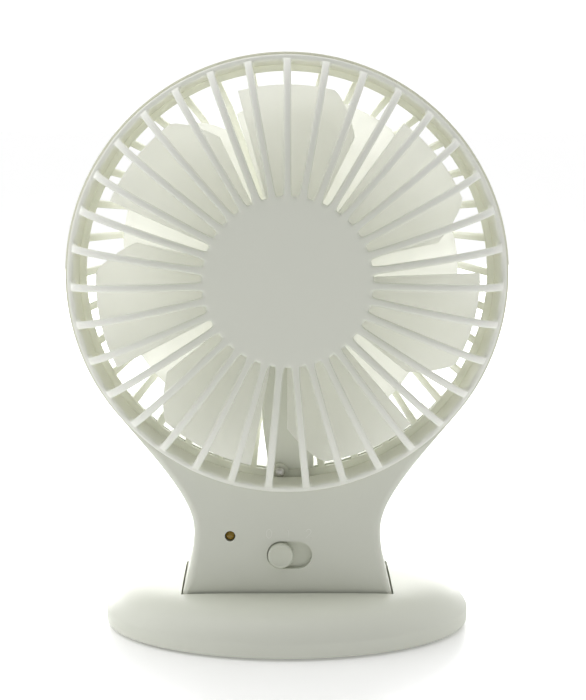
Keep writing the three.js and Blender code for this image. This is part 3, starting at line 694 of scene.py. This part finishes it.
for numeral, x in enumerate(NUMERAL_SPOTS):
    points = [
        (x + NUMERAL_TALL * px, -HALF_DEPTH + STROKE_SINK, NUMERAL_Z + NUMERAL_TALL * pz)
        for px, pz in numeral_paths(numeral)[0]
    ]
    stroke = tube_along(f"numeral_{numeral}", points, STROKE_RADIUS)
    add_piece(f"numeral_{numeral}", stroke, PRINT, "head", [])

# ------------------------------------------------------------------ power lamp
# A small domed lens in clear amber plastic, pushed through the neck from inside until its collar stops it.
# It is unlit, so it looks dark and glassy.
LENS, paint, shader = new_paint("amber_lens")
amber_depth = paint.noise(paint.place(), 600.0, 2.0)
paint.feed(shader["Base Color"], paint.mix(amber_depth, (0.20, 0.12, 0.003), (0.32, 0.20, 0.006)))
paint.feed(shader["Roughness"], amber_depth * 0.1 + 0.1)
shader["Coat Weight"].default_value = 0.6
lens_radius = 1.5 * MM
COLLAR_FRONT = -17.2 * MM
lens_profile = [(0, lamp_low.y)]
for i in range(1, 11):
    turn = pi * i / 20
    lens_profile.append((lens_radius * sin(turn), lamp_low.y + lens_radius * (1 - cos(turn))))
lens_profile += [(lens_radius, COLLAR_FRONT), (lens_radius + GAP, COLLAR_FRONT)]
lens_profile += [(lens_radius + GAP, lamp_high.y), (0, lamp_high.y)]
lens_mesh = turned("amber_lens", lens_profile, 48, (LAMP_X, LAMP_Z))
add_piece("amber_lens", lens_mesh, LENS, "head", ["power_lamp"])

# ------------------------------------------------------------------ circuit board, switch, inlet and leads
# A small green board stands behind the neck's face and carries the slide switch and the lamp. Two insulated
# leads go back to the metal-cased power inlet, and two run up the duct to the motors.
BOARD, paint, shader = new_paint("green_solder_mask")
place = paint.place()
weave = paint.noise(place, 2200.0, 2.0)
tracks = paint.noise(place, 260.0, 1.0)
track_edge = paint.ramp(tracks, 0.48, 0.52, 0.0, 1.0)
paint.feed(shader["Base Color"], paint.mix(track_edge, (0.02, 0.10, 0.035), (0.03, 0.16, 0.05)))
paint.feed(shader["Roughness"], weave * 0.15 + 0.25)
paint.feed(shader["Normal"], paint.bump(weave, 0.1, 0.0002))
finish_nodes(BOARD, "circuit_board")
finish_nodes(moulded("black_nylon", (0.03, 0.03, 0.032), (0.05, 0.05, 0.054), 0.45)[0], "slide_switch")
finish_nodes(BRIGHT_STEEL, "power_inlet")
RED_PVC = moulded("red_pvc", (0.36, 0.03, 0.025), (0.45, 0.045, 0.035), 0.4)[0]
BLACK_PVC = moulded("black_pvc", (0.018, 0.018, 0.02), (0.035, 0.035, 0.038), 0.4)[0]
finish_nodes(RED_PVC, "motor_lead_red", "inlet_lead_red")
finish_nodes(BLACK_PVC, "motor_lead_black", "inlet_lead_black")

# ------------------------------------------------------------------ motors and their carrier
# Two flat steel-cased motors sit back to back in an ivory cup. The cup stands on a slanted hollow duct that
# rises from the neck and carries the leads. One screw holds the duct to the rear grille's ear.
finish_nodes(metal("motor_can", (0.50, 0.51, 0.52), 0.30, 90.0), "front_motor", "rear_motor")
carrier_low, carrier_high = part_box("motor_carrier")
CUP_RADIUS = 15 * MM
MOTOR_BORE = 12.4 * MM
DUCT_REACH = 67.7 * MM
LEAD_X, LEAD_Y = -3.5 * MM, -4.4 * MM
duct_side = [(-5.2, -70), (8.6, -70), (8.6, -58)]
duct_side += [tuple(point) for point in curve_points([(8.6, -58), (7.5, -49), (1, -42)], 12)[1:]]
duct_side += [(1, -42), (2, -12), (-9, -12), (-8, -50)]
centre_x = sum(x for x, z in duct_side) / len(duct_side)
duct_loops = []
for y, inset in ((0, 1.0), (0.3, 0.3), (1.0, 0), (11.0, 0), (11.7, 0.3), (12.0, 1.0)):
    depth = carrier_low.y + y * MM
    squeeze = 1 - inset / 7
    loop = [((centre_x + (x - centre_x) * squeeze) * MM, depth, AXIS_Z + z * MM) for x, z in duct_side]
    duct_loops.append(loop)
lead_way = block(
    "lead_way",
    (LEAD_X - 2.5 * MM, LEAD_Y - 2 * MM, AXIS_Z - 0.08),
    (LEAD_X + 2.5 * MM, LEAD_Y + 2 * MM, AXIS_Z - 8 * MM),
)
screw_low, screw_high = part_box("duct_screw")
ear_spot = ((screw_low.x + screw_high.x) / 2, (screw_low.z + screw_high.z) / 2)
carrier_mesh = carved(
    loft("motor_cup_and_duct", duct_loops),
    ("INTERSECT", drum("inside_head", DUCT_REACH, -0.05, 0.05, (0, AXIS_Z), 192)),
    ("UNION", drum("cup", CUP_RADIUS, carrier_low.y, carrier_high.y, (0, AXIS_Z), 96)),
    ("DIFFERENCE", drum("motor_bore", MOTOR_BORE, -0.05, 0.05, (0, AXIS_Z), 96)),
    ("DIFFERENCE", lead_way),
    ("DIFFERENCE", drum("pilot_hole", PILOT_RADIUS, -0.05, -4.5 * MM, ear_spot, 24)),
)
carrier_mesh = soft_edges(carrier_mesh, 0.3 * MM)
add_piece("motor_cup_and_duct", carrier_mesh, IVORY, "head", ["motor_carrier"])

# ------------------------------------------------------------------ impellers
# Two impellers in a whiter, thinner plastic that lets light through. Each is one moulding: a capped hub with
# a boss for the shaft, and blades bent over their width. The front one has seven blades, the rear one five.
BLADE_DEEP, BLADE_PALE = (0.875, 0.885, 0.825), (0.905, 0.915, 0.855)
BLADE_IVORY, paint, shader = moulded("thin_blade_plastic", BLADE_DEEP, BLADE_PALE, 0.40, 0.03)
let_light_through(paint, shader, 0.66, (1.0, 1.0, 0.985))
HUB_RADIUS = 17 * MM
BLADE_HALF = 0.6 * MM


def past(share, start):
    """How far a share has gone from a start towards one, and 0 before it."""
    return max(0, (share - start) / (1 - start))


def blade(first, span, tip_at, lift_at, turn):
    """A thin plate bent over a grid of clock angle and radius, with its edges rounded afterwards."""
    across, out = 28, 10
    root = HUB_RADIUS - 0.6 * MM
    points, faces, index = [], [], {}
    for layer, side in enumerate((-1, 1)):
        for i in range(across + 1):
            share = i / across
            angle = radians(first + span * share) + turn
            for j in range(out + 1):
                reach = j / out
                radius = root + (tip_at(share) - root) * reach
                index[layer, i, j] = len(points)
                lift = lift_at(share, reach) + side * BLADE_HALF
                points.append((radius * sin(angle), lift, AXIS_Z + radius * cos(angle)))
    for layer in (0, 1):
        for i in range(across):
            for j in range(out):
                corners = ((i, j), (i + 1, j), (i + 1, j + 1), (i, j + 1))
                faces.append(tuple(index[layer, a, b] for a, b in corners))
    rim = [(i, 0) for i in range(across)] + [(across, j) for j in range(out)]
    rim += [(i, out) for i in range(across, 0, -1)] + [(0, j) for j in range(out, 0, -1)]
    for here, beyond in zip(rim, rim[1:] + rim[:1]):
        faces.append((index[0, *here], index[0, *beyond], index[1, *beyond], index[1, *here]))
    plate = mesh_from("blade", points, faces)
    settings = {"width": 0.4 * MM, "segments": 3, "limit_method": "ANGLE", "angle_limit": radians(50)}
    return finished(plate, ("BEVEL", settings))


def impeller(name, blades, first, span, tip_at, nose, rim, lead, trail):
    """The whole moulding. nose and rim are the hub's ends along Y, lead and trail the blades' two edges."""
    back = 1 if rim > nose else -1
    hub_profile = [
        (0, nose + back * 0.05 * MM),
        (HUB_RADIUS - 3.6 * MM, nose),
        (HUB_RADIUS - 1.8 * MM, nose + back * 0.35 * MM),
        (HUB_RADIUS - 0.8 * MM, nose + back * 0.95 * MM),
        (HUB_RADIUS - 0.2 * MM, nose + back * 1.9 * MM),
        (HUB_RADIUS, nose + back * 3 * MM),
        (HUB_RADIUS, rim - back * 0.3 * MM),
        (HUB_RADIUS - 0.3 * MM, rim),
        (HUB_RADIUS - 1.3 * MM, rim),
        (HUB_RADIUS - 1.6 * MM, rim - back * 0.3 * MM),
        (HUB_RADIUS - 1.8 * MM, nose + back * 2.2 * MM),
        (3.4 * MM, nose + back * 2.2 * MM),
        (3.3 * MM, nose + back * 6 * MM),
        (1.3 * MM, nose + back * 6 * MM),
        (1.3 * MM, nose + back * 1.2 * MM),
        (0, nose + back * 1.2 * MM),
    ]
    middle, reach_out = (lead + trail) / 2, (lead - trail) / 2

    def lift_at(share, reach):
        return middle + reach_out * cos(pi * share) * (1 - 0.35 * reach)

    wheel = turned(name, hub_profile, 128, (0, AXIS_Z))
    for n in range(blades):
        wheel = carved(wheel, ("UNION", blade(first, span, tip_at, lift_at, 2 * pi * n / blades)))
    return smooth_to(wheel, 50)


def front_tip(share):
    return (60.3 - 11.6 * past(share, 0.72) ** 1.15) * MM


def rear_tip(share):
    return (57.2 - 4 * (1 - min(1, share / 0.7)) ** 2 - 9 * past(share, 0.82) ** 1.4) * MM


front_low, front_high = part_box("front_impeller")
back_low, back_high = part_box("rear_impeller")
for node, *shape in (
    ("front_impeller", 7, -14.7, 40.5, front_tip, front_low.y, front_high.y, -31.5 * MM, -21.5 * MM),
    ("rear_impeller", 5, -18, 67.5, rear_tip, back_high.y, back_low.y, 4.6 * MM, 14.6 * MM),
):
    wheel = impeller(node + "_moulding", *shape)
    add_piece(node + "_moulding", wheel, BLADE_IVORY, node, [node])

# ------------------------------------------------------------------ rear grille
# One ivory moulding: a lip ring inside the hoop, thirty-six ribs that run back from it and kink inwards to
# a plain hub, and two thin rings that tie them. The lowest rib stops at the kink, and an ear takes the
# duct's screw.
back_grille_low, back_grille_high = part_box("rear_grille")
THIN_IVORY, paint, shader = moulded("ivory_abs_thin", (0.79, 0.805, 0.705), (0.835, 0.85, 0.755))
let_light_through(paint, shader, 0.5, (1.0, 1.0, 0.95))
RIBS = 36
LIP_INNER, LIP_OUTER = 64.4 * MM, 67.9 * MM
RIB_HALF, RIB_DEPTH = 1.15 * MM, 2.2 * MM
KINK = 58.2 * MM
REAR_HUB = 19 * MM
RING_HALF = 0.85 * MM
TIE_RINGS = (33 * MM, 43 * MM)
EAR_RADIUS = 2.8 * MM
back = back_grille_high.y
lip_front = back_grille_low.y
lip_back = lip_front + 2 * MM


def squared(value, most):
    """A round section's coordinate grown by a quarter and cut off, which leaves flats with round corners."""
    return max(-most, min(most, 1.25 * value))


def rib(turn, whole):
    """A bar of rounded section that follows the grille's side and back, turned to its clock angle."""
    line = [(REAR_HUB - 1 * MM, back - RIB_DEPTH / 2), (KINK - 2.4 * MM, back - RIB_DEPTH / 2)]
    if whole:
        bend = [(KINK - 2.4 * MM, back - RIB_DEPTH / 2), (KINK - 0.9 * MM, back - RIB_DEPTH / 2)]
        line += [tuple(point) for point in curve_points([*bend, (KINK - 0.6 * MM, back - 3.6 * MM)], 6)[1:]]
        line += [(KINK - 0.6 * MM, back - 3.6 * MM), (LIP_INNER + 1.2 * MM, lip_back - 0.6 * MM)]
    else:
        line += [(KINK - 0.4 * MM, back - RIB_DEPTH / 2)]
    line = [Vector(point) for point in line]
    section = [(RIB_HALF * cos(t), RIB_DEPTH / 2 * sin(t)) for t in (2 * pi * k / 16 for k in range(16))]
    section = [(squared(wide, RIB_HALF), squared(deep, RIB_DEPTH / 2)) for wide, deep in section]
    loops = []
    for i, point in enumerate(line):
        along = (line[min(i + 1, len(line) - 1)] - line[max(i - 1, 0)]).normalized()
        out = Vector((along.y, -along.x))
        loop = []
        for wide, deep in section:
            radius, y = point + out * deep
            x, z = radius * sin(turn) + wide * cos(turn), radius * cos(turn) - wide * sin(turn)
            loop.append((x, y, AXIS_Z + z))
        loops.append(loop)
    return loft("rib", loops)


def rounded_ring(inner, outer, front, rear, edge):
    """The section of a ring with small radii on its four edges."""
    corners = [(inner, front, 1, 1), (outer, front, -1, 1), (outer, rear, -1, -1), (inner, rear, 1, -1)]
    section = []
    for k, (radius, y, side, depth) in enumerate(corners):
        ends = [(radius, y + depth * edge), (radius + side * edge, y)]
        section += ends if k % 2 == 0 else ends[::-1]
    return section


lip_section = rounded_ring(LIP_INNER, LIP_OUTER, lip_front, lip_back, 0.3 * MM)
rear_grille_mesh = turned("rear_grille_moulding", lip_section, 216, (0, AXIS_Z))
ear = drum("ear", EAR_RADIUS, lip_front, lip_back, ear_spot, 40)
rear_parts = [("UNION", ear)]
for radius in TIE_RINGS:
    tie_front, tie_back = back - RIB_DEPTH + 0.2 * MM, back - 0.2 * MM
    section = rounded_ring(radius - RING_HALF, radius + RING_HALF, tie_front, tie_back, 0.4 * MM)
    rear_parts.append(("UNION", turned("tie_ring", section, 144, (0, AXIS_Z))))
hub_section = [
    (0, back - 1.9 * MM),
    (REAR_HUB - 0.5 * MM, back - RIB_DEPTH),
    (REAR_HUB, back - RIB_DEPTH + 0.5 * MM),
    (REAR_HUB, back - 0.6 * MM),
    (REAR_HUB - 0.6 * MM, back),
    (REAR_HUB - 2 * MM, back),
    (0, back - 0.3 * MM),
]
rear_parts.append(("UNION", turned("back_hub", hub_section, 144, (0, AXIS_Z))))
for n in range(RIBS):
    rear_parts.append(("UNION", rib(2 * pi * n / RIBS, n != RIBS // 2)))
rear_parts.append(("INTERSECT", drum("inside_hoop", LIP_OUTER, -0.05, 0.05, (0, AXIS_Z), 216)))
rear_parts.append(("DIFFERENCE", drum("ear_hole", PILOT_RADIUS, -0.05, 0, ear_spot, 24)))
rear_grille_mesh = smooth_to(carved(rear_grille_mesh, *rear_parts), 60)
add_piece("rear_grille_moulding", rear_grille_mesh, THIN_IVORY, "head", ["rear_grille"])

# ------------------------------------------------------------------ front grille
# One ivory moulding, clipped into the hoop: a thin ring with a skirt, a big plain disc that stands forward of
# it, and thirty-five spokes that leave the disc level and curve back down into the ring.
SPOKES = 35
RING_DROP = 18 * MM
DISC_RADIUS = 26.6 * MM
RING_INNER = 67.5 * MM
RING_OUTER = grille_high.x
SPOKE_EDGE = 1.22 * MM
SPOKE_FLAT = 0.66 * MM
SPOKE_TURNS = [8, 20, 33, 46, 57, 67, 75, 81]
DISC_SHARES = [0.12, 0.36, 0.62, 0.84, 0.95]
CROWN = 0.4 * MM
DISC_FRONT = grille_low.y + CROWN
RING_FRONT = DISC_FRONT + RING_DROP
DISC_BACK = DISC_FRONT + 2.2 * MM


def dome_point(degrees, depth=0.0):
    """A point (radius, y) on the spokes' curve, or "depth" behind it along the curve's normal."""
    reach = (RING_INNER + RING_OUTER) / 2 - DISC_RADIUS
    turn = radians(degrees)
    normal = Vector((sin(turn) / reach, -cos(turn) / RING_DROP)).normalized()
    return (
        DISC_RADIUS + reach * sin(turn) - normal.x * depth,
        RING_FRONT - RING_DROP * cos(turn) - normal.y * depth,
    )


def grille_rows():
    """The moulding's section from the middle of its face round to the middle of its back. Each row is
    (zone, radius and y at a spoke, radius and y between spokes)."""
    rows = []
    for share in DISC_SHARES:
        y = DISC_FRONT - CROWN * (1 - share**2)
        rows.append(("disc", DISC_RADIUS * share, y, DISC_RADIUS * share, y))
    rows.append(("disc", DISC_RADIUS, DISC_FRONT + 0.05 * MM, DISC_RADIUS, DISC_FRONT + 0.35 * MM))
    rows += [("front", *dome_point(degrees), 0, 0) for degrees in SPOKE_TURNS]
    inner, outer = RING_INNER / MM, RING_OUTER / MM
    ring = [
        (inner + 0.9, -0.3, inner, 0.7),
        (inner + 1.0, -0.05, inner + 0.5, 0.05),
        (outer - 0.5, 0, outer - 0.5, 0),
        (outer, 0.5, outer, 0.5),
        (outer, 1.6, outer, 1.6),
        (inner + 0.4, 1.7, inner + 0.4, 1.7),
        (inner + 0.4, 9.6, inner + 0.4, 9.6),
        (inner - 0.5, 10, inner - 0.5, 10),
        (inner - 1.4, 9.6, inner - 1.4, 9.6),
        (inner - 0.1, 2.2, inner - 0.05, 2.2),
    ]
    rows += [("ring", a * MM, RING_FRONT + b * MM, c * MM, RING_FRONT + d * MM) for a, b, c, d in ring]
    rows += [("back", *dome_point(t, (2.7 - 0.9 * t / 90) * MM), 0, 0) for t in reversed(SPOKE_TURNS)]
    rows.append(("disc", DISC_RADIUS, DISC_BACK + 0.3 * MM, DISC_RADIUS, DISC_BACK))
    rows += [("disc", DISC_RADIUS * s, DISC_BACK, DISC_RADIUS * s, DISC_BACK) for s in reversed(DISC_SHARES)]
    return rows


def grille_cage():
    """Six columns a spoke: four across it and two in the slot beside it, where only disc and ring are."""
    rows, sector = grille_rows(), 2 * pi / SPOKES
    zones = [row[0] for row in rows]
    points, faces, index = [], [], {}
    for n, (zone, radius, y, slot_radius, slot_y) in enumerate(rows):
        widest = max(radius, DISC_RADIUS)
        edge, flat = SPOKE_EDGE / widest, SPOKE_FLAT / widest
        slot_step = (sector - 2 * edge) / 3
        turns = [-edge, -flat, flat, edge, edge + slot_step, edge + 2 * slot_step]
        roll = {"front": 0.55 * MM, "back": -0.45 * MM}.get(zone, 0)
        for s in range(SPOKES):
            for c, turn in enumerate(turns):
                if c > 3 and zone in ("front", "back"):
                    continue
                r, depth = (slot_radius, slot_y) if c > 3 else (radius, y + (roll if c in (0, 3) else 0))
                angle = s * sector + turn
                index[n, s, c] = len(points)
                points.append((r * sin(angle), depth, AXIS_Z + r * cos(angle)))

    def patch(n, m, s, c):
        """The four corners between two rows and two neighbouring columns."""
        t, d = (s, c + 1) if c < 5 else ((s + 1) % SPOKES, 0)
        return index[n, s, c], index[n, t, d], index[m, t, d], index[m, s, c]

    for n in range(len(rows) - 1):
        whole = zones[n] == zones[n + 1] and zones[n] in ("disc", "ring")
        faces += [patch(n, n + 1, s, c) for s in range(SPOKES) for c in range(6) if c < 3 or whole]
    disc_rim, ring_in = zones.index("front") - 1, zones.index("ring")
    ring_out, disc_back = zones.index("back") - 1, len(zones) - zones[::-1].index("back")
    for s in range(SPOKES):
        for n, m in ((disc_rim, disc_back), (ring_in, ring_out)):
            faces += [patch(n, m, s, c) for c in (3, 4, 5)]
        for k in range(len(SPOKE_TURNS) + 1):
            upper, lower = disc_rim + k, disc_back - k
            for c in (0, 3):
                rows_round = (upper, upper + 1, lower - 1, lower)
                faces.append(tuple(index[row, s, c] for row in rows_round))
    for n, y in ((0, grille_low.y), (len(rows) - 1, DISC_BACK)):
        rim = [index[n, s, c] for s in range(SPOKES) for c in range(6)]
        faces += [(rim[i], rim[(i + 1) % len(rim)], len(points)) for i in range(len(rim))]
        points.append((0, y, AXIS_Z))
    return mesh_from("front_grille_moulding", points, faces)


GRILLE_IVORY, paint, shader = moulded("ivory_abs_grille", IVORY_DEEP, IVORY_PALE)
where = paint.node("ShaderNodeSeparateXYZ", {}, {0: paint.place()})
across, up = where["X"], where["Z"] - AXIS_Z
from_axis = paint.node("ShaderNodeMath", {"operation": "SQRT"}, {0: across * across + up * up})["Value"]
thin_share = paint.ramp(where["Y"], RING_FRONT, RING_FRONT + 3 * MM, 0.05, 0.4)
# Painted light: the base colour is painted paler from the disc out to the ring, standing in for the brighter
# light that falls on the ring and its lip.
ring_painted_light = paint.ramp(from_axis, 30 * MM, 66 * MM, 0.0, 1.0)
paint.feed(shader["Base Color"], paint.mix(ring_painted_light, IVORY_PALE, (0.94, 0.95, 0.88)))
let_light_through(paint, shader, thin_share, (0.97, 0.96, 0.86))
grille_mesh = finished(grille_cage(), ("SUBSURF", {"levels": 2, "render_levels": 2}))
add_piece("front_grille_moulding", grille_mesh, GRILLE_IVORY, "head", ["front_grille"])

# ------------------------------------------------------------------ screws
# Nickel-plated self-tapping screws with a pan head, a cross recess and a ridged shank: four through the neck,
# one in the duct, four up into the base cover and two under the bracket.
NICKEL = metal("nickel_plate", (0.56, 0.55, 0.52), 0.2, 500.0)
SHANK, CORE = 0.9 * MM, 0.65 * MM
PITCH = 0.7 * MM
SCREW_TIP = 0.8 * MM
HEAD_DOME = 0.7
CROSS_SHARE = 0.55
CROSS_HALF = 0.28 * MM


def tapping_screw(name, head_radius, head_tall, length):
    """A screw whose head's top is at the origin and whose shank points along -Y."""
    profile = [(0, 0)]
    for i in range(1, 9):
        turn = pi * i / 16
        profile.append((head_radius * sin(turn), -head_tall * (1 - cos(turn)) * HEAD_DOME))
    profile += [(head_radius, -head_tall), (CORE, -head_tall)]
    for k in range(int((length - head_tall - SCREW_TIP) / PITCH)):
        top = -head_tall - PITCH * k
        profile += [(CORE, top - 0.15 * MM), (SHANK, top - 0.35 * MM), (CORE, top - 0.55 * MM)]
    profile.append((0, -length))
    screw = turned(name, profile, 40)
    for turn in (0, pi / 2):
        reach, sunk = CROSS_SHARE * head_radius, CROSS_SHARE * head_tall
        groove = block("groove", (-reach, -sunk, -CROSS_HALF), (reach, 0.01, CROSS_HALF))
        groove.transform(Matrix.Rotation(turn + pi / 4, 4, "Y"))
        screw = carved(screw, ("DIFFERENCE", groove))
    return smooth_to(screw, 40)


def drive(node, body, facing, head_radius, head_tall):
    """Puts a screw where its node is, its head towards "facing"."""
    low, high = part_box(node)
    middle = (low + high) / 2
    axis = 1 if facing[1] else 2
    length = high[axis] - low[axis]
    top = middle.copy()
    top[axis] = high[axis] if facing[axis] > 0 else low[axis]
    screw = tapping_screw(node + "_cross_head", head_radius, head_tall, length)
    turn = Vector((0, 1, 0)).rotation_difference(Vector(facing)).to_matrix().to_4x4()
    screw.transform(Matrix.Translation(top) @ turn)
    add_piece(node + "_cross_head", screw, NICKEL, body, [node])


for n in range(1, 5):
    drive(f"housing_screw_{n}", "head", (0, 1, 0), 2 * MM, 1.5 * MM)
    drive(f"base_screw_{n}", "base", (0, 0, -1), 2 * MM, 1 * MM)
for n in (1, 2):
    drive(f"bracket_screw_{n}", "base", (0, 0, -1), 2 * MM, 1 * MM)
drive("duct_screw", "head", (0, -1, 0), 1.7 * MM, 1.2 * MM)
